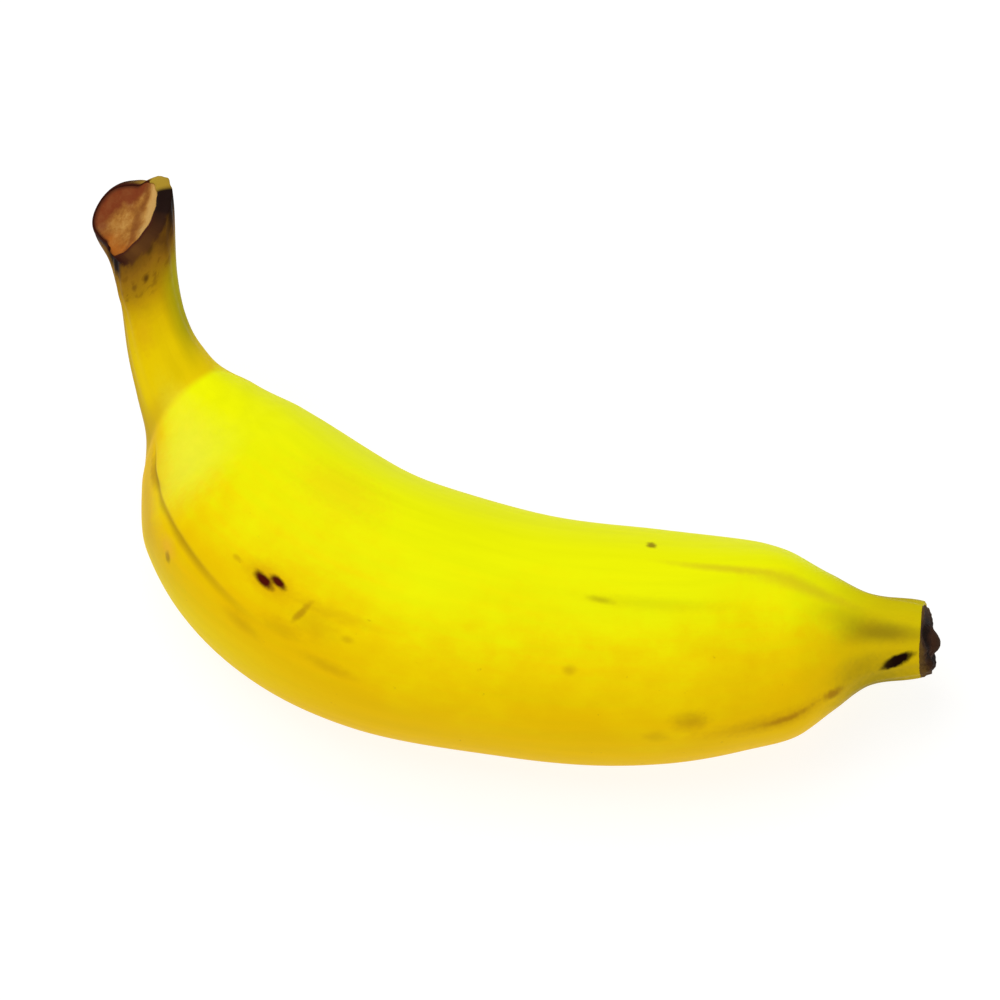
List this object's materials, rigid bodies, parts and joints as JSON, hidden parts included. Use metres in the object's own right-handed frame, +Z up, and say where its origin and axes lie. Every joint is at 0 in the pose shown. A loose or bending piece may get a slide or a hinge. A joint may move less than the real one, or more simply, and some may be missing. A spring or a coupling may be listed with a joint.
{
  "type": "banana",
  "caption": "Short, stout ripe banana lying on its side, bent body with soft ridges, obliquely cut stem and dried blossom end.",
  "frame": {"origin": "on the surface that the fruit lies on, under the middle of its box", "axes": "+X from the stem to the tip along the longest extent, +Y to the inside of the bend, +Z up, the shortest extent"},
  "size_m": [0.1538, 0.066, 0.0506],
  "materials": {
    "peel": "smooth waxy yellow peel, green to brown at the stem, with brown marks",
    "stem_cut": "dry fibrous tan cut with a dark brown lip",
    "blossom_end": "dried black-brown blossom scar"
  },
  "bodies": {
    "root": {"banana": "peel"}
  },
  "joints": []
}
